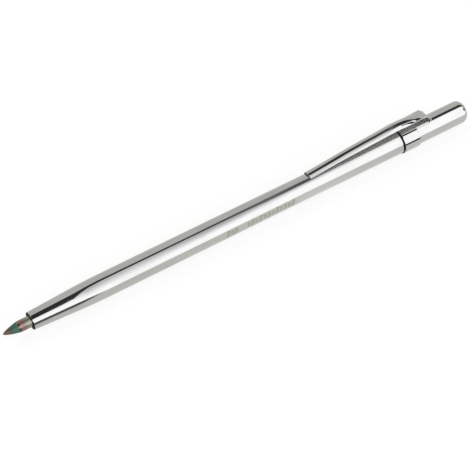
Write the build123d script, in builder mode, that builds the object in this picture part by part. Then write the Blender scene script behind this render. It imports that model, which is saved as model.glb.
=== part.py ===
from build123d import *
import math
import os

# A pocket clutch holder with a hard marking point. The pen lies along X: the point is at -X, the
# push button at +X, and the pocket clip stands up on +Z. The origin is on the axis, at the middle
# of the plain round grip, so every piece is placed by its station along X and its radius.

# ---- Driving dimensions (mm) ----
overall_length = 151.25
tip_x = -63.0
end_x = tip_x + overall_length

rod_r = 1.6
cone_length = 4.77
coat_end = 4.27
bare_tip_length = 2.05
rod_length = 53.0

nose_x = tip_x + 8.1
nose_r = 2.54
nose_slope = 0.0484
ogive_x = tip_x + 20.5
grip_start_x = tip_x + 31.0
barrel_r = 3.40
bore_r = 2.88
flare_x = tip_x + 95.0
flare_r = 3.54
barrel_end_x = tip_x + 127.28

seat_mouth_r = 2.24
seat_slope = 0.12
seat_length = 2.2
land_length = 2.0
fit_gap = 0.03

jaw_count = 4
jaw_slit_degrees = 5.0
jaw_front_x = nose_x + 0.5
finger_in_r = rod_r + 0.02
finger_out_r = 1.82
collet_root_x = tip_x + 26.2

sleeve_r = 2.15
sleeve_bore_r = 1.78
sleeve_front_x = tip_x + 31.0
sleeve_rear_x = tip_x + 56.0
guide_bore_r = sleeve_r + 0.05
guide_x = tip_x + 31.5
guide_length = 3.0
spring_stop_x = tip_x + 54.0
tube_rear_x = tip_x + 145.0

neck_r = 2.6
washer_x = barrel_end_x
washer_thickness = 0.32
band_x = washer_x + washer_thickness
band_end_x = tip_x + 133.0
band_r = 3.79
band_in_r = 3.44
sheet = 0.38
flange_end_x = band_x + 0.5
nut_end_x = flange_end_x + 2.3

button_r = 3.39
button_bore_r = 2.95
button_front_x = tip_x + 132.2
button_corner_r = 2.0
button_crown = 0.3
button_floor_x = end_x - 1.6

clip_flat_z = 5.7
clip_half_width = 2.1
fold_x = tip_x + 138.45
fold_lean = 0.76
fold_r = 0.8
fold_foot_z = 4.5

os.makedirs("parts", exist_ok=True)


def save(part, label):
    """Give a finished piece its name and write its file."""
    part.label = label
    export_step(part, f"parts/{label}.step")


def turned(outline, degrees=360, start=0):
    """A piece turned about X from a closed outline of (station, radius) corners."""
    with BuildPart() as piece:
        with BuildSketch(Plane.XZ.rotated((start, 0, 0))):
            with BuildLine():
                Polyline(*outline, close=True)
            make_face()
        revolve(axis=Axis.X, revolution_arc=degrees)
    return piece.part


def fold_at(z):
    """Station of the rear face of the leaning fold at a height above the axis."""
    return fold_x - fold_lean * (z - band_r)


def ring(start_x, end_x, inner_r, outer_r):
    """A plain turned ring."""
    return turned([(start_x, inner_r), (end_x, inner_r), (end_x, outer_r), (start_x, outer_r)])


# ---- Barrel: drawn tube, tapered nose with the clutch seat in its mouth, flared rear lip ----
rim_round = 0.12
lip_round = 0.3
ogive_r = nose_r + nose_slope * (ogive_x - nose_x)
seat_end_r = seat_mouth_r - seat_slope * seat_length
seat_end_x = nose_x + seat_length
land_end_x = seat_end_x + land_length
with BuildPart() as barrel_tube:
    with BuildSketch(Plane.XZ):
        with BuildLine():
            CenterArc((nose_x + rim_round, nose_r - rim_round), rim_round, 180, -90)
            Line((nose_x + rim_round, nose_r), (ogive_x, ogive_r))
            TangentArc((grip_start_x, barrel_r), (ogive_x, ogive_r), tangent=(-1, 0))
            Line((grip_start_x, barrel_r), (flare_x, barrel_r))
            Line((flare_x, barrel_r), (barrel_end_x - lip_round, flare_r))
            CenterArc((barrel_end_x - lip_round, flare_r - lip_round), lip_round, 90, -90)
            Polyline(
                (barrel_end_x, flare_r - lip_round),
                (barrel_end_x, bore_r),
                (grip_start_x, bore_r),
                (ogive_x, ogive_r - 0.46),
                (land_end_x + 2.3, 2.25),
                (land_end_x, seat_end_r),
                (seat_end_x, seat_end_r),
                (nose_x, seat_mouth_r),
                (nose_x, nose_r - rim_round),
            )
        make_face()
    revolve(axis=Axis.X)
save(barrel_tube.part, "barrel_tube")

# ---- Clutch: four spring fingers whose heads wedge in the seat of the nose ----
head_end_x = jaw_front_x + 1.6
head_front_r = seat_mouth_r - seat_slope * (jaw_front_x - nose_x) - fit_gap
head_end_r = seat_mouth_r - seat_slope * (head_end_x - nose_x) - fit_gap
jaw_outline = [
    (jaw_front_x, finger_in_r + 0.1),
    (jaw_front_x + 0.1, finger_in_r),
    (collet_root_x - fit_gap, finger_in_r),
    (collet_root_x - fit_gap, finger_out_r),
    (head_end_x + 0.5, finger_out_r),
    (head_end_x, head_end_r),
    (jaw_front_x + 0.12, head_front_r),
    (jaw_front_x, head_front_r - 0.1),
]
jaw_pitch = 360 / jaw_count
for number in range(jaw_count):
    jaw_start = number * jaw_pitch + jaw_slit_degrees / 2
    save(turned(jaw_outline, jaw_pitch - jaw_slit_degrees, jaw_start), f"jaw_{number + 1}")

spigot_r = 1.95
spigot_end_x = sleeve_front_x + 2.5
collet_root_outline = [
    (collet_root_x, finger_in_r + 0.03),
    (spigot_end_x, finger_in_r + 0.03),
    (spigot_end_x, spigot_r),
    (sleeve_front_x, spigot_r),
    (sleeve_front_x, sleeve_r),
    (collet_root_x, sleeve_r),
]
save(turned(collet_root_outline), "collet_root")

collet_sleeve_outline = [
    (sleeve_front_x, spigot_r),
    (spigot_end_x, spigot_r),
    (spigot_end_x, sleeve_bore_r),
    (sleeve_rear_x, sleeve_bore_r),
    (sleeve_rear_x, sleeve_r),
    (sleeve_front_x, sleeve_r),
]
save(turned(collet_sleeve_outline), "collet_sleeve")

# ---- Plunger: spring collar, long push tube and the plug that joins it to the button ----
collar_length = 4.5
collar_r = 2.78
collar_chamfer = 0.3
spring_collar_outline = [
    (spring_stop_x, sleeve_r),
    (spring_stop_x + collar_length, sleeve_r),
    (spring_stop_x + collar_length, collar_r - collar_chamfer),
    (spring_stop_x + collar_length - collar_chamfer, collar_r),
    (spring_stop_x, collar_r),
]
save(turned(spring_collar_outline), "spring_collar")
save(ring(sleeve_rear_x, tube_rear_x, sleeve_bore_r, sleeve_r), "push_tube")

plug_front_x = tube_rear_x - 4.0
button_plug_outline = [
    (plug_front_x, sleeve_r),
    (tube_rear_x, sleeve_r),
    (tube_rear_x, 0),
    (button_floor_x, 0),
    (button_floor_x, button_bore_r),
    (plug_front_x, button_bore_r),
]
save(turned(button_plug_outline), "button_plug")

# ---- Guide bush and return spring ----
save(ring(guide_x, guide_x + guide_length, guide_bore_r, bore_r), "front_guide")

wire_r = 0.17
coil_r = 2.5
coil_turns = 13
coil_start_x = guide_x + guide_length + wire_r
coil_height = spring_stop_x - wire_r - coil_start_x
with BuildPart() as return_spring:
    with BuildLine():
        coil = Helix(coil_height / coil_turns, coil_height, coil_r, (coil_start_x, 0, 0), (1, 0, 0))
    with BuildSketch(Plane(origin=coil @ 0, z_dir=coil % 0)):
        Circle(wire_r)
    sweep(is_frenet=True)
save(return_spring.part, "return_spring")

# ---- Rear neck: bush in the barrel, washer in the joint, and the nut that holds the clip band ----
bush_front_x = tip_x + 119.0
rear_bush_outline = [
    (bush_front_x, guide_bore_r),
    (nut_end_x, guide_bore_r),
    (nut_end_x, neck_r),
    (barrel_end_x, neck_r),
    (barrel_end_x, bore_r),
    (bush_front_x, bore_r),
]
save(turned(rear_bush_outline), "rear_bush")
save(ring(washer_x, band_x, neck_r, 3.15), "lock_washer")

nut_r = button_bore_r - 0.05
with BuildPart() as neck_nut:
    add(ring(flange_end_x, nut_end_x, neck_r, nut_r))
    with BuildSketch(Plane.YZ.offset(nut_end_x)):
        with PolarLocations(nut_r, 2):
            Rectangle(0.5, 0.5)
    extrude(amount=-0.6, mode=Mode.SUBTRACT)
save(neck_nut.part, "neck_nut")

# ---- Clip band: collar with a front flange, a tab over the button and an upturned foot ----
band_round = 0.12
wall = sheet * math.hypot(1, fold_lean)
tab_low_z = 2.6
with BuildPart() as clip_band:
    with BuildSketch(Plane.XZ):
        with BuildLine():
            FilletPolyline(
                (flange_end_x, band_in_r),
                (flange_end_x, neck_r),
                (band_x, neck_r),
                (band_x, band_r),
                (band_end_x, band_r),
                (band_end_x, band_in_r),
                radius=[0, 0, band_round, band_round],
            )
            Line((band_end_x, band_in_r), (flange_end_x, band_in_r))
        make_face()
    revolve(axis=Axis.X)
    with BuildSketch(Plane.YZ.offset(band_end_x - 1.0)):
        Circle(band_r)
        Circle(band_in_r, mode=Mode.SUBTRACT)
        with Locations((0, band_r / 2 + 1.0)):
            Rectangle(2 * clip_half_width, band_r, mode=Mode.INTERSECT)
    extrude(amount=fold_x - band_end_x + 1.0)
    with BuildSketch(Plane.XZ):
        with BuildLine():
            Polyline(
                (fold_x, tab_low_z),
                (fold_x, band_r),
                (fold_at(fold_foot_z), fold_foot_z),
                (fold_at(fold_foot_z) - wall, fold_foot_z),
                (fold_x - wall, band_r),
                (fold_x - wall, tab_low_z),
                close=True,
            )
        make_face()
    extrude(amount=clip_half_width, both=True)
    with Locations((fold_x, 0, 0)):
        Cylinder(band_in_r, 4 * wall, rotation=(0, 90, 0), mode=Mode.SUBTRACT)
save(clip_band.part, "clip_band")


# ---- Clip arm: arched spring strip, flattened before its rear fold ----
def arched_strip(plane, half_width, arch_r):
    """The strip's cross-section: a band of thickness `sheet` between two arcs, crown at the origin."""
    half_angle = math.degrees(math.asin(half_width / arch_r))
    with BuildSketch(plane) as section:
        with BuildLine():
            start = 90 - half_angle
            outer = CenterArc((0, -arch_r), arch_r, start, 2 * half_angle)
            inner = CenterArc((0, -arch_r), arch_r - sheet, start, 2 * half_angle)
            Line(outer @ 0, inner @ 0)
            Line(outer @ 1, inner @ 1)
        make_face()
    return section.sketch


# station from the tip, crown height, half width, arch radius
clip_stations = [
    (96.5, 4.17, 1.66, 2.30),
    (103.0, 4.75, 1.72, 2.27),
    (111.0, 5.52, 1.82, 2.25),
    (119.5, 6.14, 1.94, 2.25),
    (128.8, 6.56, 2.06, 2.36),
    (132.4, 6.24, clip_half_width, 3.20),
    (136.0, clip_flat_z, clip_half_width, 14.0),
]
strip_sections = [
    arched_strip(Plane.YZ.offset(tip_x + station).shift_origin((tip_x + station, 0, crown_z)), width, arch)
    for station, crown_z, width, arch in clip_stations
]
flat_start_x = tip_x + clip_stations[-1][0]
with BuildPart() as clip_arm:
    add(strip_sections)
    loft()
    with BuildSketch(Plane.XZ):
        with BuildLine():
            FilletPolyline(
                (flat_start_x, clip_flat_z),
                (fold_at(clip_flat_z), clip_flat_z),
                (fold_at(fold_foot_z), fold_foot_z),
                radius=fold_r,
            )
            Line((fold_at(fold_foot_z), fold_foot_z), (fold_at(fold_foot_z) - wall, fold_foot_z))
            FilletPolyline(
                (fold_at(fold_foot_z) - wall, fold_foot_z),
                (fold_at(clip_flat_z - sheet) - wall, clip_flat_z - sheet),
                (flat_start_x, clip_flat_z - sheet),
                radius=fold_r - sheet,
            )
            Line((flat_start_x, clip_flat_z - sheet), (flat_start_x, clip_flat_z))
        make_face()
    extrude(amount=clip_half_width, both=True)
save(clip_arm.part, "clip_arm")

# ---- Push button: drawn cup with a slightly crowned end ----
shoulder_x = end_x - button_crown - button_corner_r
flat_r = button_r - button_corner_r
crown_r = (flat_r**2 + button_crown**2) / (2 * button_crown)
with BuildPart() as push_button:
    with BuildSketch(Plane.XZ):
        with BuildLine():
            Line((button_front_x, button_r), (shoulder_x, button_r))
            CenterArc((shoulder_x, flat_r), button_corner_r, 0, 90)
            CenterArc((end_x - crown_r, 0), crown_r, 0, math.degrees(math.asin(flat_r / crown_r)))
            Polyline(
                (end_x, 0),
                (button_floor_x, 0),
                (button_floor_x, button_bore_r),
                (button_front_x, button_bore_r),
                (button_front_x, button_r),
            )
        make_face()
    revolve(axis=Axis.X)
save(push_button.part, "push_button")

# ---- Point: metal shank with the root of the cone, coated cone and bare end. The cone's radius
# grows as the 0.6 power of the distance from its tip ----
swell = 0.6
cone_base_x = tip_x + cone_length
coat_x = tip_x + coat_end
bare_x = tip_x + bare_tip_length
coat_r = rod_r * (coat_end / cone_length) ** swell
bare_r = rod_r * (bare_tip_length / cone_length) ** swell
mid_coat = (bare_tip_length + coat_end) / 2
mid_bare = bare_tip_length * 0.35
apex_r = 0.18
shank_chamfer = 0.3
rod_end_x = cone_base_x + rod_length
point_shank_outline = [
    (coat_x, 0),
    (rod_end_x, 0),
    (rod_end_x, rod_r - shank_chamfer),
    (rod_end_x - shank_chamfer, rod_r),
    (cone_base_x, rod_r),
    (coat_x, coat_r),
]
save(turned(point_shank_outline), "point_shank")

with BuildPart() as point_cone:
    with BuildSketch(Plane.XZ):
        with BuildLine():
            mid_r = rod_r * (mid_coat / cone_length) ** swell
            ThreePointArc((bare_x, bare_r), (tip_x + mid_coat, mid_r), (coat_x, coat_r))
            Polyline((coat_x, coat_r), (coat_x, 0), (bare_x, 0), (bare_x, bare_r))
        make_face()
    revolve(axis=Axis.X)
save(point_cone.part, "point_cone")

with BuildPart() as point_end:
    with BuildSketch(Plane.XZ):
        with BuildLine():
            mid_r = rod_r * (mid_bare / cone_length) ** swell
            ThreePointArc((tip_x, apex_r), (tip_x + mid_bare, mid_r), (bare_x, bare_r))
            Polyline((bare_x, bare_r), (bare_x, 0), (tip_x, 0), (tip_x, apex_r))
        make_face()
    revolve(axis=Axis.X)
save(point_end.part, "point_end")
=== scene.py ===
import math

import bmesh
import bpy
import numpy as np
from mathutils import Matrix, Vector


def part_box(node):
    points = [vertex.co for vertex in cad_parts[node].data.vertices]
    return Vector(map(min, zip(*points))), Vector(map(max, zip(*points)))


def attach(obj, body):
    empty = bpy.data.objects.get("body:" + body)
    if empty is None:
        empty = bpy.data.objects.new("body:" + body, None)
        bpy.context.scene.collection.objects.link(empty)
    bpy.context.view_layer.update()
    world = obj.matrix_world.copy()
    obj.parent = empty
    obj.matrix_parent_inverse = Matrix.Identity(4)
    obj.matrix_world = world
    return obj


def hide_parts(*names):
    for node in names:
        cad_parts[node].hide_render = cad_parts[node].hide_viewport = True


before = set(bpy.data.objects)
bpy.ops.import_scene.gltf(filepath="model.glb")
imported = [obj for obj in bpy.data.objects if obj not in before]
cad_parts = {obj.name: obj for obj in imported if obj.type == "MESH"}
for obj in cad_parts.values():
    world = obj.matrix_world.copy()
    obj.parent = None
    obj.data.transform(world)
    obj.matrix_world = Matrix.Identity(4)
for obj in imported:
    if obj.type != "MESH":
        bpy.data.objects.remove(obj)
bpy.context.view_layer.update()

# A chromed pocket clutch holder. The pen lies along X with its point at -X, its push button at +X
# and its clip on +Z. Shapes are worked out here in millimetres and written to meshes in metres.
MM = 0.001

# ---------------------------------------------------------------- sizes taken from the frame


def span(node):
    """Lowest and highest corner of a CAD node, in millimetres."""
    low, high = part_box(node)
    return Vector(low) / MM, Vector(high) / MM


barrel_low, barrel_high = span("barrel_tube")
band_low, band_high = span("clip_band")
button_low, button_high = span("push_button")
shank_low, shank_high = span("point_shank")
coat_low = span("point_cone")[0]
tip_low = span("point_end")[0]
washer_low, washer_high = span("lock_washer")

TIP_X = tip_low.x
END_X = button_high.x
NOSE_X = barrel_low.x
BARREL_END_X = barrel_high.x
LIP_R = barrel_high.y
BAND_X = band_low.x
BAND_R = band_high.y
FOLD_X = band_high.x
FOOT_Z = band_high.z
BUTTON_X = button_low.x
BUTTON_R = button_high.y
ROD_R = shank_high.y
COAT_X = shank_low.x
BARE_X = coat_low.x
ROD_END_X = shank_high.x

# sizes that a box doesn't show
NOSE_R = 2.54
NOSE_SLOPE = 0.0484
OGIVE_X = TIP_X + 20.5
GRIP_X = TIP_X + 31.0
BARREL_R = 3.4
BORE_R = 2.88
FLARE_X = TIP_X + 95.0
SEAT_MOUTH_R = 2.24
SEAT_SLOPE = 0.12
SEAT_LENGTH = 2.2
LAND_LENGTH = 2.0
NECK_R = 2.6
BAND_IN_R = 3.44
BAND_END_X = TIP_X + 133.0
FLANGE_END_X = BAND_X + 0.5
SHEET = 0.38
BUTTON_BORE_R = 2.95
BUTTON_CORNER_R = 2.0
BUTTON_CROWN = 0.3
BUTTON_FLOOR_X = END_X - 1.6
CLIP_HALF_WIDTH = 2.1
CLIP_FLAT_Z = 5.7
FOLD_LEAN = 0.76
FOLD_R = 0.8
CONE_BASE_X = TIP_X + 4.77

ROUND_STEPS = 288

# ---------------------------------------------------------------- shapes


def arc(cx, cr, radius, start, end, steps=8):
    """Points of a circle about (cx, cr): centre plus radius times cosine and sine, in degrees."""
    turn = np.radians(np.linspace(start, end, steps + 1))
    return np.column_stack([cx + radius * np.cos(turn), cr + radius * np.sin(turn)])


def line(*corners):
    """Corners joined by straight runs."""
    return np.array(corners, dtype=float)


def profile(*parts, hold=0.03):
    """Parts joined into one outline. Each long straight run gets a point `hold` from each of its ends,
    so smooth shading stays flat along it and turns only at the corner."""
    points = np.vstack(parts)
    keep = np.r_[True, np.linalg.norm(np.diff(points, axis=0), axis=1) > 1e-6]
    points = points[keep]
    run = np.roll(points, -1, axis=0) - points
    length = np.linalg.norm(run, axis=1, keepdims=True)
    near = points + run * np.minimum(hold / np.maximum(length, 1e-9), 0.3)
    far = points + run * (1 - np.minimum(hold / np.maximum(length, 1e-9), 0.3))
    long_run = (length > 5 * hold).ravel()
    stacked = np.stack([points, near, far], axis=1)
    wanted = np.column_stack([np.ones(len(points), bool), long_run, long_run])
    return stacked[wanted]


def grid_faces(rows, columns, wrap_rows, wrap_columns):
    """Quads between neighbouring rows and columns of a grid, as vertex numbers."""
    r = np.arange(rows if wrap_rows else rows - 1)
    c = np.arange(columns if wrap_columns else columns - 1)
    r, c = np.meshgrid(r, c, indexing="ij")
    r1 = (r + 1) % rows
    c1 = (c + 1) % columns
    quads = [r * columns + c, r * columns + c1, r1 * columns + c1, r1 * columns + c]
    return np.stack(quads, axis=-1).reshape(-1, 4)


def surface(name, points, wrap_rows=False, wrap_columns=False, caps=False, sharp=38):
    """A mesh from a grid of points in millimetres, rows by columns by three. Caps close the first and
    last row. Coinciding points, as at a pole, are merged and faces are turned outwards."""
    rows, columns, _ = points.shape
    faces = grid_faces(rows, columns, wrap_rows, wrap_columns).tolist()
    if caps:
        faces.append(list(range(columns)))
        faces.append(list(range((rows - 1) * columns, rows * columns)))
    mesh = bpy.data.meshes.new(name)
    mesh.from_pydata((points.reshape(-1, 3) * MM).tolist(), [], faces)
    tidy = bmesh.new()
    tidy.from_mesh(mesh)
    bmesh.ops.remove_doubles(tidy, verts=tidy.verts, dist=1e-8)
    bmesh.ops.dissolve_degenerate(tidy, edges=tidy.edges, dist=1e-8)
    bmesh.ops.recalc_face_normals(tidy, faces=tidy.faces)
    tidy.to_mesh(mesh)
    tidy.free()
    mesh.shade_smooth()
    mesh.set_sharp_from_angle(angle=math.radians(sharp))
    piece = bpy.data.objects.new(name, mesh)
    bpy.context.scene.collection.objects.link(piece)
    return piece


def turned(name, outline, steps=ROUND_STEPS, closed=True):
    """A surface of revolution about X: each outline point (x, r) goes to (x, r cos a, r sin a) for
    every angle a round the circle."""
    angle = np.linspace(0, 2 * np.pi, steps, endpoint=False)[:, None]
    x = np.broadcast_to(outline[:, 0], (steps, len(outline)))
    points = np.stack([x, outline[:, 1] * np.cos(angle), outline[:, 1] * np.sin(angle)], axis=-1)
    return surface(name, points, wrap_rows=True, wrap_columns=closed)


def turned_sector(name, outline, start, end, steps=40):
    """The same revolution between two angles, with flat ends."""
    angle = np.radians(np.linspace(start, end, steps + 1))[:, None]
    x = np.broadcast_to(outline[:, 0], (steps + 1, len(outline)))
    points = np.stack([x, outline[:, 1] * np.cos(angle), outline[:, 1] * np.sin(angle)], axis=-1)
    return surface(name, points, wrap_columns=True, caps=True)


def smooth_through(at, stations, values):
    """A cubic curve through the values at the stations: each span is a Hermite blend of its two ends
    and of the slopes there, and a slope is that between the two neighbouring stations."""
    stations, values = np.asarray(stations, float), np.asarray(values, float)
    slope = np.gradient(values, stations)
    i = np.clip(np.searchsorted(stations, at) - 1, 0, len(stations) - 2)
    width = stations[i + 1] - stations[i]
    t = (at - stations[i]) / width
    start = (1 + 2 * t) * (1 - t) ** 2 * values[i] + t * (1 - t) ** 2 * width * slope[i]
    return start + t**2 * (3 - 2 * t) * values[i + 1] - t**2 * (1 - t) * width * slope[i + 1]


# share of the edge angle reached at each share of the way from the crown to the edge of the clip strip
SLOPE_AT = (0.0, 0.14, 0.56, 0.68, 1.0)
SLOPE_SHARE = (0.0, 0.31, 0.50, 0.82, 1.0)


def strip_section(half_width, edge_angle, edge_r=0.1, steps=24):
    """One cross-section of a bent strip, as (sideways, outward) pairs. From the crown the strip's slope
    grows to its edge angle by the shares above, and the outer line is the running sum of the cosine and
    minus sine of that slope, scaled to the half width. The inner line lies one sheet thickness below
    along the normal, and the edges are half ellipses. Every row gives one section."""
    half_width, edge_angle = half_width[:, None], edge_angle[:, None]
    way = np.linspace(0, 1, steps)
    slope = edge_angle * np.interp(way, SLOPE_AT, SLOPE_SHARE)
    middle = (slope[:, 1:] + slope[:, :-1]) / 2
    start = np.zeros((len(slope), 1))
    side = np.hstack([start, np.cumsum(np.cos(middle), axis=1)])
    drop = np.hstack([start, np.cumsum(np.sin(middle), axis=1)])
    half_sheet = SHEET / 2
    lean = np.sin(edge_angle) * half_sheet
    bulge = np.hypot(lean, np.cos(edge_angle) * edge_r) - lean
    scale = (half_width - bulge) / side[:, -1:]
    outer = np.stack([side * scale, -drop * scale], axis=-1)
    inner = outer - SHEET * np.stack([np.sin(slope), np.cos(slope)], axis=-1)
    bend = np.linspace(0, np.pi, 9)[1:-1]
    normal = np.stack([np.sin(edge_angle), np.cos(edge_angle)], axis=-1)
    tangent = np.stack([np.cos(edge_angle), -np.sin(edge_angle)], axis=-1)
    around = half_sheet * (np.cos(bend)[:, None] - 1) * normal + edge_r * np.sin(bend)[:, None] * tangent
    edge = outer[:, -1:] + around
    half = np.concatenate([outer, edge, inner[:, ::-1]], axis=1)
    other = (half * np.array([-1.0, 1.0]))[:, ::-1]
    return np.concatenate([half, other[:, 1:-1]], axis=1)


def carried(name, path, normals, sections, caps=True):
    """Cross-sections carried along a path in the XZ plane: a section point (s, o) goes to the path
    point plus s along Y plus o along the path's outward normal."""
    sideways, outward = sections[..., 0], sections[..., 1]
    x = path[:, None, 0] + outward * normals[:, None, 0]
    z = path[:, None, 1] + outward * normals[:, None, 1]
    return surface(name, np.stack([x, sideways, z], axis=-1), wrap_columns=True, caps=caps, sharp=50)


# ---------------------------------------------------------------- materials


class Finish:
    """A node material under construction, with its Principled shader and Object coordinates."""

    def __init__(self, name):
        self.material = bpy.data.materials.new(name)
        self.material.use_nodes = True
        self.tree = self.material.node_tree
        self.shader = self.tree.nodes["Principled BSDF"]
        self.place = self.node("ShaderNodeTexCoord").outputs["Object"]

    def node(self, kind, **settings):
        made = self.tree.nodes.new(kind)
        for key, value in settings.items():
            setattr(made, key, value)
        return made

    def join(self, source, target):
        self.tree.links.new(source, target)

    def constant(self, **values):
        for key, value in values.items():
            self.shader.inputs[key.replace("_", " ")].default_value = value

    def stretched(self, scale):
        mapping = self.node("ShaderNodeMapping")
        mapping.inputs["Scale"].default_value = scale
        self.join(self.place, mapping.inputs["Vector"])
        return mapping.outputs["Vector"]

    def noise(self, scale, detail=3.0, roughness=0.5):
        noise = self.node("ShaderNodeTexNoise")
        noise.inputs["Scale"].default_value = 1.0
        noise.inputs["Detail"].default_value = detail
        noise.inputs["Roughness"].default_value = roughness
        self.join(self.stretched(scale), noise.inputs["Vector"])
        return noise.outputs["Fac"]

    def ramp(self, value, stops):
        ramp = self.node("ShaderNodeValToRGB")
        marks = ramp.color_ramp.elements
        while len(marks) < len(stops):
            marks.new(0.5)
        for mark, (at, colour) in zip(marks, stops):
            mark.position = at
            mark.color = (*colour, 1) if isinstance(colour, tuple) else (colour, colour, colour, 1)
        self.join(value, ramp.inputs["Fac"])
        return ramp.outputs["Color"]

    def calc(self, operation, first, second=None, third=None):
        made = self.node("ShaderNodeMath", operation=operation)
        for socket, value in zip(made.inputs, (first, second, third)):
            if isinstance(value, (int, float)):
                socket.default_value = value
            elif value is not None:
                self.join(value, socket)
        return made.outputs[0]

    def split(self, vector):
        parts = self.node("ShaderNodeSeparateXYZ")
        self.join(vector, parts.inputs[0])
        return parts.outputs

    def step(self, value, edge, softness):
        """0 below the edge and 1 above it, with a smooth rise that wide."""
        made = self.node("ShaderNodeMapRange", interpolation_type="SMOOTHSTEP")
        self.join(value, made.inputs["Value"])
        made.inputs["From Min"].default_value = edge - softness / 2
        made.inputs["From Max"].default_value = edge + softness / 2
        return made.outputs["Result"]

    def band(self, value, low, high, softness):
        """1 between two edges and 0 outside them."""
        return self.calc("SUBTRACT", self.step(value, low, softness), self.step(value, high, softness))

    def mixed(self, share, first, second):
        mix = self.node("ShaderNodeMix", data_type="RGBA")
        self.join(share, mix.inputs["Factor"])
        for socket, value in ((mix.inputs[6], first), (mix.inputs[7], second)):
            if isinstance(value, tuple):
                socket.default_value = (*value, 1)
            else:
                self.join(value, socket)
        return mix.outputs[2]

    def bump(self, height, strength, distance):
        bump = self.node("ShaderNodeBump")
        bump.inputs["Strength"].default_value = strength
        bump.inputs["Distance"].default_value = distance
        self.join(height, bump.inputs["Height"])
        self.join(bump.outputs["Normal"], self.shader.inputs["Normal"])


# light and dark tints of the plate's slow unevenness
CHROME_TINTS = [(0.0, (0.50, 0.50, 0.49)), (0.5, (0.57, 0.57, 0.565)), (1.0, (0.61, 0.61, 0.61))]


def plated(finish, lines):
    """Mirror plate over a drawn surface: faint polishing lines, a slow waviness and a few dull specks."""
    drawn = finish.noise(lines, detail=4.0)
    slow = finish.noise((120, 420, 420), detail=1.5)
    specks = finish.noise((2600, 2600, 2600), detail=2.0, roughness=0.7)
    colour = finish.ramp(slow, CHROME_TINTS)
    gloss = finish.ramp(specks, [(0.45, 0.045), (0.72, 0.075), (0.8, 0.22)])
    height = finish.calc("ADD", finish.calc("MULTIPLY", drawn, 0.18), slow)
    finish.constant(Metallic=1.0)
    finish.join(colour, finish.shader.inputs["Base Color"])
    finish.join(gloss, finish.shader.inputs["Roughness"])
    finish.bump(height, 0.12, 0.00002)
    return colour, gloss


def chrome_plate():
    finish = Finish("chrome_plate")
    plated(finish, (90, 2400, 2400))
    return finish.material


# etched bars on the barrel: where the two groups start and end from the tip, the spacing of the bars,
# how much they lean, how far round the barrel their middle line stands, and how strongly they show
MARK_GROUPS = ((67.2, 71.3), (74.0, 89.8))
MARK_PITCH = 1.34
MARK_LEAN = 0.3
MARK_HEIGHT = -0.46
MARK_SHARE = 0.5
MARK_TINT = (0.25, 0.20, 0.16)


def marked_plate():
    """The barrel's plate, with faint etched bars in two groups on its near side. The bars lean, and
    stand round the barrel at a height counted along its surface from the -Y side."""
    finish = Finish("chrome_barrel")
    colour, gloss = plated(finish, (90, 2400, 2400))
    x, y, z = finish.split(finish.place)
    along = finish.calc("SUBTRACT", finish.calc("MULTIPLY", x, 1 / MM), TIP_X)
    angle = finish.calc("ARCTAN2", z, finish.calc("MULTIPLY", y, -1))
    height = finish.calc("ADD", finish.calc("MULTIPLY", angle, BARREL_R), -MARK_HEIGHT)
    leaning = finish.calc("MULTIPLY_ADD", height, -MARK_LEAN, along)
    groups = finish.calc("ADD", *(finish.band(along, low, high, 0.1) for low, high in MARK_GROUPS))
    period = finish.calc("FRACT", finish.calc("DIVIDE", leaning, MARK_PITCH))
    pair = finish.calc("FRACT", finish.calc("DIVIDE", leaning, 2 * MARK_PITCH))
    bars = finish.band(period, 0.06, 0.84, 0.12)
    reach = finish.calc("MULTIPLY_ADD", finish.band(pair, 0.0, 0.5, 0.02), 0.35, 0.8)
    inside = finish.calc("SUBTRACT", reach, finish.calc("ABSOLUTE", height))
    shape = finish.calc("MULTIPLY", finish.step(inside, 0, 0.12), finish.calc("MULTIPLY", bars, groups))
    worn = finish.ramp(finish.noise((1500, 1500, 1500), detail=3.0), [(0.3, 0.3), (0.62, 1.0)])
    share = finish.calc("MULTIPLY", finish.calc("MULTIPLY", shape, worn), MARK_SHARE)
    finish.join(finish.mixed(share, colour, MARK_TINT), finish.shader.inputs["Base Color"])
    finish.join(finish.mixed(share, gloss, (0.3, 0.3, 0.3)), finish.shader.inputs["Roughness"])
    return finish.material


def turned_metal(name, dark, light, rough, lines=(5200, 240, 240)):
    """Turned or drawn metal: tool marks round the axis, and a tone that drifts along the piece."""
    finish = Finish(name)
    marks = finish.noise(lines, detail=4.0)
    blotches = finish.noise((420, 420, 420), detail=3.0)
    tone = finish.ramp(blotches, [(0.3, dark), (0.7, light)])
    finish.constant(Metallic=1.0)
    finish.join(tone, finish.shader.inputs["Base Color"])
    finish.join(finish.ramp(marks, [(0.3, rough), (0.7, rough + 0.16)]), finish.shader.inputs["Roughness"])
    finish.bump(marks, 0.25, 0.00001)
    return finish.material


def rod_metal():
    """Ground shank, rosy where it was heated next to the cone, greenish grey further up."""
    finish = Finish("rod_steel")
    marks = finish.noise((5200, 240, 240), detail=4.0)
    blotches = finish.noise((420, 420, 420), detail=3.0)
    x, _, _ = finish.split(finish.place)
    along = finish.calc("SUBTRACT", finish.calc("MULTIPLY", x, 1 / MM), TIP_X)
    drift = finish.calc("MULTIPLY_ADD", finish.calc("SUBTRACT", blotches, 0.5), 1.2, along)
    heated = finish.step(drift, 6.4, 1.8)
    plain = finish.ramp(blotches, [(0.3, (0.30, 0.30, 0.25)), (0.7, (0.40, 0.39, 0.33))])
    finish.join(finish.mixed(heated, (0.33, 0.21, 0.20), plain), finish.shader.inputs["Base Color"])
    finish.constant(Metallic=1.0)
    finish.join(finish.ramp(marks, [(0.3, 0.18), (0.7, 0.32)]), finish.shader.inputs["Roughness"])
    finish.bump(marks, 0.25, 0.00001)
    return finish.material


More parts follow.
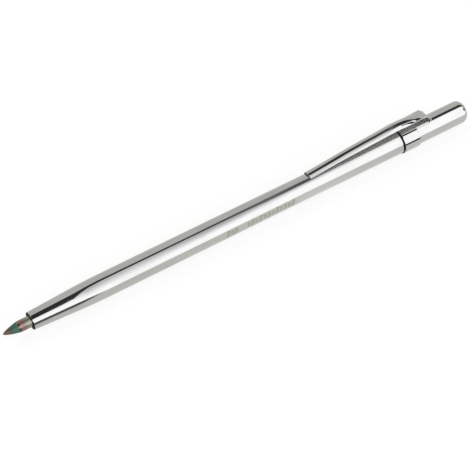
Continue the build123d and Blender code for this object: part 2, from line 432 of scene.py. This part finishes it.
def worn_coat(name, dark, light, other, start, end):
    """Satin coat, mottled, that gives way to another tone between two distances from the tip."""
    finish = Finish(name)
    marks = finish.noise((3800, 900, 900), detail=4.0)
    blotches = finish.noise((1500, 1500, 1500), detail=4.0, roughness=0.6)
    x, _, _ = finish.split(finish.place)
    along = finish.calc("SUBTRACT", finish.calc("MULTIPLY", x, 1 / MM), TIP_X)
    drift = finish.calc("MULTIPLY_ADD", finish.calc("SUBTRACT", blotches, 0.5), 2.0, along)
    share = finish.step(drift, (start + end) / 2, abs(end - start))
    if start > end:
        share = finish.calc("SUBTRACT", 1.0, share)
    tone = finish.ramp(blotches, [(0.3, dark), (0.7, light)])
    finish.join(finish.mixed(share, tone, other), finish.shader.inputs["Base Color"])
    finish.join(finish.ramp(marks, [(0.3, 0.34), (0.7, 0.5)]), finish.shader.inputs["Roughness"])
    finish.bump(marks, 0.3, 0.00001)
    return finish.material


plain_chrome = chrome_plate()
# satin metal for the clip's underside, paler than the chrome: painted light that lifts the shade under the
# clip
satin_plate_painted_light = turned_metal("satin_plate_painted_light", (0.86, 0.85, 0.83), (0.93, 0.92, 0.90), 0.6, (240, 2400, 2400))
barrel_chrome = marked_plate()
brass = turned_metal("brass_turned", (0.55, 0.40, 0.18), (0.78, 0.61, 0.32), 0.24)
spring_wire = turned_metal("spring_wire", (0.32, 0.32, 0.33), (0.5, 0.5, 0.51), 0.22, (900, 900, 900))
# near-black jaws: the dark tone paints the shade inside the nose
jaw_steel_painted_shade = turned_metal("jaw_steel_painted_shade", (0.10, 0.10, 0.10), (0.24, 0.24, 0.23), 0.32)
# near-black washer colour: painted shade of the groove between barrel and collar
joint_shade_black = turned_metal("joint_shade_washer", (0.015, 0.015, 0.015), (0.05, 0.05, 0.05), 0.4)
rod_steel = rod_metal()
green_coat = worn_coat("green_coat", (0.025, 0.10, 0.07), (0.06, 0.17, 0.12), (0.10, 0.085, 0.05), 3.0, 1.9)
brown_tip = worn_coat("brown_tip", (0.10, 0.065, 0.05), (0.19, 0.13, 0.10), (0.09, 0.08, 0.045), 1.2, 2.2)


def place(piece, body, node, material):
    """Puts a finished piece on its body, in place of its CAD node and material."""
    piece.data.materials.clear()
    piece.data.materials.append(material)
    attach(piece, body)
    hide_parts(node)
    return piece


# ---------------------------------------------------------------- pieces


def make_barrel():
    """Drawn tube: straight tapered nose, an arc that runs into the round grip, and a flared lip."""
    ogive_r = NOSE_R + NOSE_SLOPE * (OGIVE_X - NOSE_X)
    rim, lip = 0.12, 0.3
    rise, run = BARREL_R - ogive_r, GRIP_X - OGIVE_X
    arc_r = (run**2 + rise**2) / (2 * rise)
    turn = math.degrees(math.asin(run / arc_r))
    seat_end_r = SEAT_MOUTH_R - SEAT_SLOPE * SEAT_LENGTH
    land_x = NOSE_X + SEAT_LENGTH + LAND_LENGTH
    outline = profile(
        arc(NOSE_X + rim, NOSE_R - rim, rim, 180, 90),
        arc(GRIP_X, BARREL_R - arc_r, arc_r, 90 + turn, 90, 24),
        line((FLARE_X, BARREL_R)),
        arc(BARREL_END_X - lip, LIP_R - lip, lip, 90, 0),
        line((BARREL_END_X, BORE_R), (GRIP_X, BORE_R), (OGIVE_X, ogive_r - 0.46), (land_x + 2.3, 2.25)),
        line((land_x, seat_end_r), (NOSE_X + SEAT_LENGTH, seat_end_r), (NOSE_X, SEAT_MOUTH_R)),
    )
    place(turned("barrel_shell", outline), "barrel", "barrel_tube", barrel_chrome)


def make_washer():
    """Ring in front of the collar, near-black: painted shade that shows as the dark joint in front of the
    collar.
    """
    ease = 0.06
    outline = profile(
        line((washer_low.x, NECK_R)),
        arc(washer_low.x + ease, washer_high.y - ease, ease, 180, 90, 3),
        arc(washer_high.x - ease, washer_high.y - ease, ease, 90, 0, 3),
        line((washer_high.x, NECK_R)),
    )
    place(turned("joint_washer", outline, 144), "barrel", "lock_washer", joint_shade_black)


def make_collar():
    """Collar ring of the clip, with the flange that is clamped on the neck."""
    ease = 0.12
    outline = profile(
        line((FLANGE_END_X, BAND_IN_R), (FLANGE_END_X, NECK_R), (BAND_X, NECK_R)),
        arc(BAND_X + ease, BAND_R - ease, ease, 180, 90, 5),
        arc(BAND_END_X - ease, BAND_R - ease, ease, 90, 0, 5),
        line((BAND_END_X, BAND_IN_R)),
    )
    place(turned("clip_collar", outline), "barrel", "clip_band", plain_chrome)


def path_normals(path):
    """Outward normals of a path in the XZ plane: its unit tangents turned a quarter turn."""
    tangent = np.gradient(path, axis=0)
    tangent /= np.linalg.norm(tangent, axis=1, keepdims=True)
    return np.column_stack([-tangent[:, 1], tangent[:, 0]])


def make_clip_foot():
    """Tab from the collar, bent up at the fold: a strip that follows the collar's curve along the
    button, turns up and forwards through a small bend and flattens as it rises to the arm."""
    bend_r = 0.3
    wall = SHEET * math.hypot(1, FOLD_LEAN)
    lean = math.degrees(math.atan(FOLD_LEAN))
    meet_x = FOLD_X - wall
    bend_x = meet_x - bend_r / math.tan(math.radians(45 - lean / 2))
    along = np.column_stack([np.linspace(BAND_END_X - 0.3, bend_x, 12), np.full(12, BAND_R)])
    bend = arc(bend_x, BAND_R + bend_r, bend_r, -90, lean, 12)[1:]
    rise = np.linspace(bend[-1, 1], FOOT_Z, 9)[1:]
    up = np.column_stack([meet_x - FOLD_LEAN * (rise - BAND_R), rise])
    path = np.vstack([along, bend, up])
    share = np.clip((path[:, 1] - BAND_R) / (FOOT_Z - BAND_R), 0, 1)
    angle = np.arcsin(CLIP_HALF_WIDTH * (1 - share * 0.93) / BAND_R)
    sections = strip_section(np.full(len(path), CLIP_HALF_WIDTH), angle)
    piece = carried("clip_foot", path, path_normals(path), sections)
    place(piece, "barrel", "clip_band", plain_chrome)


# station from the tip, crown height, half width, arch radius
CLIP_STATIONS = np.array([
    (96.5, 4.17, 1.66, 2.30),
    (103.0, 4.75, 1.72, 2.27),
    (111.0, 5.52, 1.82, 2.25),
    (119.5, 6.14, 1.94, 2.25),
    (128.8, 6.56, 2.06, 2.36),
    (132.4, 6.24, CLIP_HALF_WIDTH, 3.20),
    (136.0, CLIP_FLAT_Z, CLIP_HALF_WIDTH, 14.0),
])


def satin_painted_light_below(piece):
    """Gives the faces that look down, on the inside of the strip, the satin finish, paler than the chrome on
    top: painted light that lifts the shade under the clip.
    """
    piece.data.materials.append(satin_plate_painted_light)
    facing = np.empty(len(piece.data.polygons) * 3)
    piece.data.polygons.foreach_get("normal", facing)
    downwards = (facing.reshape(-1, 3)[:, 2] < -0.3).astype(np.int32)
    piece.data.polygons.foreach_set("material_index", downwards)


def make_clip_arm():
    """Spring arm: an arched strip along a bowed line, flattened before the rear fold, where it turns
    down through the fold radius to the foot."""
    station, crown, half, arch = CLIP_STATIONS.T
    at = np.linspace(station[0], station[-1], 110)
    bow = np.column_stack([TIP_X + at, smooth_through(at, station, crown)])
    corner_x = FOLD_X - FOLD_LEAN * (CLIP_FLAT_Z - BAND_R)
    lean = math.degrees(math.atan(FOLD_LEAN))
    fold_start = corner_x - FOLD_R * math.tan(math.radians(45 - lean / 2))
    flat = np.column_stack([np.linspace(bow[-1, 0], fold_start, 8), np.full(8, CLIP_FLAT_Z)])[1:]
    fold = arc(fold_start, CLIP_FLAT_Z - FOLD_R, FOLD_R, 90, lean, 16)[1:]
    fall = np.linspace(fold[-1, 1], FOOT_Z, 6)[1:]
    foot = np.column_stack([FOLD_X - FOLD_LEAN * (fall - BAND_R), fall])
    path = np.vstack([bow, flat, fold, foot])
    rest = len(path) - len(at)
    halves = np.r_[smooth_through(at, station, half), np.full(rest, CLIP_HALF_WIDTH)]
    flatness = smooth_through(at, station, 1 / arch)
    angles = np.arcsin(np.clip(halves * np.r_[flatness, np.full(rest, flatness[-1])], 0, 0.84))
    piece = carried("clip_arm_strip", path, path_normals(path), strip_section(halves, angles))
    place(piece, "clip", "clip_arm", plain_chrome)
    satin_painted_light_below(piece)


def make_button():
    """Drawn cup with a rounded corner and a faintly crowned end."""
    shoulder_x = END_X - BUTTON_CROWN - BUTTON_CORNER_R
    flat_r = BUTTON_R - BUTTON_CORNER_R
    crown_r = (flat_r**2 + BUTTON_CROWN**2) / (2 * BUTTON_CROWN)
    crown = arc(END_X - crown_r, 0, crown_r, math.degrees(math.asin(flat_r / crown_r)), 0, 16)
    ease = 0.1
    outline = profile(
        arc(BUTTON_X + ease, BUTTON_R - ease, ease, 180, 90, 4),
        arc(shoulder_x, flat_r, BUTTON_CORNER_R, 90, 0, 20),
        crown,
        line((BUTTON_FLOOR_X, 0), (BUTTON_FLOOR_X, BUTTON_BORE_R), (BUTTON_X, BUTTON_BORE_R)),
    )
    place(turned("button_cup", outline), "plunger", "push_button", plain_chrome)


def make_jaws():
    """Four spring fingers, each a quarter turn of one outline less the slit between them."""
    gap, slit, count = 0.03, 5.0, 4
    front = NOSE_X + 0.5
    head_end = front + 1.6
    root = TIP_X + 26.2 - gap
    inner, outer = ROD_R + 0.02, 1.82
    head_r = SEAT_MOUTH_R - SEAT_SLOPE * (front - NOSE_X) - gap
    neck_r = SEAT_MOUTH_R - SEAT_SLOPE * (head_end - NOSE_X) - gap
    outline = profile(
        line((front, inner + 0.1), (front + 0.1, inner), (root, inner), (root, outer)),
        line((head_end + 0.5, outer), (head_end, neck_r), (front + 0.12, head_r), (front, head_r - 0.1)),
        hold=0.015,
    )
    for number in range(count):
        low, high = span(f"jaw_{number + 1}")
        middle = math.degrees(math.atan2(low.z + high.z, low.y + high.y))
        half = 180 / count - slit / 2
        piece = turned_sector(f"clutch_finger_{number + 1}", outline, middle - half, middle + half)
        # the fingers' near-black tone paints the shade inside the nose
        place(piece, f"finger_{number + 1}", f"jaw_{number + 1}", jaw_steel_painted_shade)


def cone_radius(x):
    """Radius of the point's cone: the shank radius times the 0.6 power of the share of its length."""
    return ROD_R * np.clip((x - TIP_X) / (CONE_BASE_X - TIP_X), 0, 1) ** 0.6


def make_point():
    """Metal shank, coated cone and bare end, each turned about the axis."""
    ease = 0.3
    root = np.linspace(COAT_X, CONE_BASE_X, 6)
    shank = profile(
        line((COAT_X, 0)),
        np.column_stack([root, cone_radius(root)]),
        line((ROD_END_X - ease, ROD_R), (ROD_END_X, ROD_R - ease), (ROD_END_X, 0)),
    )
    place(turned("rod", shank, 192), "point", "point_shank", rod_steel)
    x = np.linspace(COAT_X, BARE_X, 30)
    coat = profile(line((COAT_X, 0)), np.column_stack([x, cone_radius(x)]), line((BARE_X, 0)))
    place(turned("cone_coat", coat, 192), "point", "point_cone", green_coat)
    x = np.linspace(BARE_X, TIP_X + 0.06, 30)
    nose_r = cone_radius(x[-1])
    bare = profile(
        line((BARE_X, 0)),
        np.column_stack([x, cone_radius(x)]),
        line((TIP_X + 0.01, nose_r * 0.6), (TIP_X, 0)),
    )
    place(turned("cone_end", bare, 192), "point", "point_end", brown_tip)


make_barrel()
make_washer()
make_collar()
make_clip_foot()
make_clip_arm()
make_button()
make_jaws()
make_point()

KEPT = {
    "front_guide": brass, "rear_bush": brass, "neck_nut": brass, "collet_root": brass,
    "collet_sleeve": brass, "spring_collar": brass, "push_tube": brass, "button_plug": brass,
    "return_spring": spring_wire,
}
for node, material in KEPT.items():
    mesh_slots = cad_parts[node].material_slots
    if not mesh_slots:
        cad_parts[node].data.materials.append(material)
    for mesh_slot in mesh_slots:
        mesh_slot.material = material

# ---------------------------------------------------------------- studio


# the view: turned from broadside towards the point, and looking down, in degrees
VIEW_TILT = 21.0
VIEW_OVER = 41.0
# how far the pen climbs across the view, the station the view looks at, how far that stands off the
# middle of the view to the right and up, and the distance, all in degrees and millimetres
VIEW_CLIMB = 26.20
VIEW_STATION = 72.87
VIEW_RIGHT, VIEW_UP = 0.68, 4.15
VIEW_DISTANCE = 494.4
# share along X of the mirrored line of sight at the collar
CARD_LENGTHWISE = 0.459
# light of the wide panel, of the wall beyond it and of the dark line beneath it
PANEL_LIGHT = 1.68
WALL_LIGHT = 0.70
LINE_LIGHT = 0.12
# dark doorway at the button's end, as a wedge of directions: where it starts along X, the direction
# round the pen of its middle, how much it narrows with each degree and how dark it is
SPOT_START = 0.62
SPOT_TURN = 38.0
SPOT_TAPER = 0.01
SPOT_DEPTH = 0.85
# Tables by the direction's share along X, from the point's side to the button's side. First the edges,
# in degrees round the pen: both edges of the dark gap, the panel's lower edge and the lower edge of
# the dark line beneath it, which closes up along the barrel.
GAP_LOW = [(-1, 45), (0.168, 45), (0.19, 63), (0.225, 83), (0.272, 88), (0.30, 88), (0.332, 86.5),
           (0.363, 85), (0.384, 72), (0.399, 74), (0.476, 78), (1, 80)]
GAP_HIGH = [(-1, 97), (0.17, 97), (0.19, 98), (0.225, 104), (0.272, 107), (0.34, 102), (0.39, 104.5),
            (0.47, 105.5), (1, 106)]
PANEL_EDGE = [(-1, -1), (0.155, -1), (0.175, -4), (0.22, -6), (0.27, -12), (1, -14)]
LINE_EDGE = [(-1, -33), (0.17, -31), (0.20, -29), (0.225, -24), (0.25, -16), (0.27, -12.1), (1, -14.1)]
# then where the panel starts to fade towards the gap, over how many degrees, and how deeply
FADE_START = [(-1, 20), (0.17, 20), (0.22, 10), (0.30, 20), (0.36, 28), (0.40, 46), (0.476, 60), (1, 60)]
FADE_WIDTH = [(-1, 56), (0.30, 56), (0.36, 42), (0.40, 28), (0.476, 20), (1, 20)]
FADE_DEPTH = [(-1, 0.3), (0.17, 0.3), (0.22, 0.5), (0.30, 0.47), (0.36, 0.58), (0.40, 0.5), (0.476, 0.15),
              (1, 0.1)]
# and the light of the gap and of the room below the panel
GAP_LIGHT = [(-1, 0.03), (0.30, 0.04), (0.35, 0.07), (0.384, 0.24), (0.40, 0.12), (0.476, 0.05), (1, 0.05)]
BELOW_LIGHT = [(-1, 0.08), (-0.05, 0.08), (0.1, 0.74), (0.2, 0.78), (0.3, 0.80), (0.36, 0.85), (0.40, 0.94),
               (0.43, 0.85), (1, 0.85)]


def make_world():
    """Studio round the pen, by direction. Round the pen's axis from the near horizon over the top,
    a wide bright panel ends in a dark gap near the zenith, and a grey wall stands beyond it."""
    world = bpy.data.worlds.new("studio")
    bpy.context.scene.world = world
    world.use_nodes = True
    tree = world.node_tree
    nodes, links = tree.nodes, tree.links
    sky = nodes["Background"]
    direction = nodes.new("ShaderNodeTexCoord").outputs["Generated"]
    split = nodes.new("ShaderNodeSeparateXYZ")
    links.new(direction, split.inputs[0])

    def calc(operation, first, second=None, third=None):
        made = nodes.new("ShaderNodeMath")
        made.operation = operation
        for socket, value in zip(made.inputs, (first, second, third)):
            if isinstance(value, (int, float)):
                socket.default_value = value
            elif value is not None:
                links.new(value, socket)
        return made.outputs[0]

    def table(value, stops):
        """Straight lines through (value, result) stops, for values from -1 to 1."""
        made = nodes.new("ShaderNodeFloatCurve")
        curve = made.mapping.curves[0]
        results = [result for _, result in stops]
        lowest, spread = min(results), max(results) - min(results)
        while len(curve.points) < len(stops):
            curve.points.new(0.5, 0.5)
        for point, (at, result) in zip(curve.points, stops):
            point.location = ((at + 1) / 2, (result - lowest) / spread)
            point.handle_type = "VECTOR"
        made.mapping.update()
        links.new(calc("MULTIPLY_ADD", value, 0.5, 0.5), made.inputs["Value"])
        return calc("MULTIPLY_ADD", made.outputs[0], spread, lowest)

    def step(value, edge, softness):
        """0 below the edge and 1 above it, with a smooth rise that wide."""
        made = nodes.new("ShaderNodeMapRange")
        made.interpolation_type = "SMOOTHSTEP"
        links.new(value, made.inputs["Value"])
        for socket, offset in (("From Min", -0.5), ("From Max", 0.5)):
            if isinstance(edge, (int, float)):
                made.inputs[socket].default_value = edge + softness * offset
            else:
                links.new(calc("ADD", edge, softness * offset), made.inputs[socket])
        return made.outputs["Result"]

    def product(*factors):
        total = factors[0]
        for factor in factors[1:]:
            total = calc("MULTIPLY", total, factor)
        return total

    lengthwise = split.outputs["X"]
    away = calc("MULTIPLY", split.outputs["Y"], -1)
    turn = calc("MULTIPLY", calc("ARCTAN2", split.outputs["Z"], away), 180 / math.pi)
    above_low = step(turn, table(lengthwise, GAP_LOW), 4)
    above_high = step(turn, table(lengthwise, GAP_HIGH), 4)
    above_floor = step(turn, table(lengthwise, PANEL_EDGE), 5)
    above_line = step(turn, table(lengthwise, LINE_EDGE), 5)
    climb = calc("SUBTRACT", turn, table(lengthwise, FADE_START))
    share = calc("MINIMUM", calc("MAXIMUM", calc("DIVIDE", climb, table(lengthwise, FADE_WIDTH)), 0.0), 1.0)
    fade = calc("SUBTRACT", 1.0, product(share, table(lengthwise, FADE_DEPTH)))
    bright = product(above_floor, calc("SUBTRACT", 1.0, above_low), fade, PANEL_LIGHT)
    gap = product(calc("SUBTRACT", above_low, above_high), table(lengthwise, GAP_LIGHT))
    wall = product(above_high, WALL_LIGHT)
    below = product(calc("SUBTRACT", 1.0, above_line), table(lengthwise, BELOW_LIGHT))
    line = product(calc("SUBTRACT", above_line, above_floor), LINE_LIGHT)
    total = calc("ADD", calc("ADD", bright, gap), calc("ADD", calc("ADD", wall, below), line))
    warm = calc("SUBTRACT", calc("ADD", above_high, 1.0), above_floor)
    off_spot = calc("MULTIPLY", calc("ABSOLUTE", calc("SUBTRACT", turn, SPOT_TURN)), SPOT_TAPER)
    spot = step(calc("SUBTRACT", lengthwise, off_spot), SPOT_START, 0.06)
    total = calc("MULTIPLY", total, calc("SUBTRACT", 1.0, calc("MULTIPLY", spot, SPOT_DEPTH)))
    tint = nodes.new("ShaderNodeMix")
    tint.data_type = "RGBA"
    links.new(warm, tint.inputs["Factor"])
    tint.inputs[6].default_value = (0.99, 0.99, 1.0, 1)
    tint.inputs[7].default_value = (1.0, 1.0, 0.95, 1)
    links.new(tint.outputs[2], sky.inputs["Color"])
    links.new(total, sky.inputs["Strength"])


def make_floor():
    """Plain white floor that the collar rests on, bright enough that shadows on it stay faint. The
    studio below the horizon stands in for it in reflections."""
    mesh = bpy.data.meshes.new("floor")
    reach, level = 3.0, -BAND_R * MM
    corners = [(-reach, -reach, level), (reach, -reach, level), (reach, reach, level), (-reach, reach, level)]
    mesh.from_pydata(corners, [], [(0, 1, 2, 3)])
    floor = bpy.data.objects.new("floor", mesh)
    bpy.context.scene.collection.objects.link(floor)
    finish = Finish("floor_paper")
    fibres = finish.noise((900, 900, 900), detail=2.0)
    finish.join(finish.ramp(fibres, [(0.3, 0.35), (0.7, 0.37)]), finish.shader.inputs["Base Color"])
    finish.constant(Roughness=0.9, Specular_IOR_Level=0.0, Emission_Strength=0.79)
    finish.constant(Emission_Color=(1.0, 1.0, 1.0, 1.0))
    mesh.materials.append(finish.material)
    floor.visible_glossy = False


def make_shade_card(name, angle, distance, width):
    """Small dark card that only the collar mirrors towards the camera: painted shade, giving the dark lines
    of reflected shade on the collar.
    It stands off the collar at an angle counted round the pen from -Y towards the clip, along the mirrored
    line of sight."""
    round_axis = math.radians(2 * angle - VIEW_OVER)
    aside = math.sqrt(1 - CARD_LENGTHWISE**2)
    start = Vector((0, -math.cos(math.radians(angle)), math.sin(math.radians(angle)))) * BAND_R
    sight = Vector((CARD_LENGTHWISE, -aside * math.cos(round_axis), aside * math.sin(round_axis)))
    middle = start + sight * distance
    across = Vector((0, math.sin(round_axis), math.cos(round_axis))) * width / 2
    low_x, high_x = BAND_X + middle.x, BAND_END_X + middle.x
    corners = [(low_x, -across), (high_x, -across), (high_x, across), (low_x, across)]
    points = [Vector((x, middle.y + side.y, middle.z + side.z)) * MM for x, side in corners]
    mesh = bpy.data.meshes.new(name)
    mesh.from_pydata(points, [], [(0, 1, 2, 3)])
    card = bpy.data.objects.new(name, mesh)
    bpy.context.scene.collection.objects.link(card)
    mesh.materials.append(collar_shade_black)
    card.visible_camera = card.visible_diffuse = card.visible_shadow = False


def make_camera():
    """Camera on the near side, above and a little towards the point, rolled so the pen climbs."""
    tilt, over, climb = (math.radians(angle) for angle in (VIEW_TILT, VIEW_OVER, VIEW_CLIMB))
    back = Vector((-math.sin(tilt), -math.cos(tilt) * math.cos(over), math.cos(tilt) * math.sin(over)))
    along = (Vector((1, 0, 0)) - back * back.x).normalized()
    across = back.cross(along)
    right = along * math.cos(climb) - across * math.sin(climb)
    up = along * math.sin(climb) + across * math.cos(climb)
    aim = (Vector((TIP_X + VIEW_STATION, 0, 0)) - right * VIEW_RIGHT - up * VIEW_UP) * MM
    data = bpy.data.cameras.new("camera")
    data.sensor_width = 36.0
    data.lens = 137.9
    data.clip_start, data.clip_end = 0.01, 10.0
    camera = bpy.data.objects.new("camera", data)
    turn = Matrix((right, up, back)).transposed().to_4x4()
    camera.matrix_world = Matrix.Translation(aim + back * VIEW_DISTANCE * MM) @ turn
    bpy.context.scene.collection.objects.link(camera)
    bpy.context.scene.camera = camera


make_world()
make_floor()
# black card colour: painted shade, seen only in the collar's reflection
collar_shade_black = turned_metal("collar_shade_black", (0.012, 0.012, 0.012), (0.02, 0.02, 0.02), 0.9)
make_shade_card("shade_card_low", 9.8, 10.0, 2.6)
make_shade_card("shade_card_high", 53.2, 12.0, 3.0)
make_camera()
bpy.context.scene.view_settings.view_transform = "Standard"
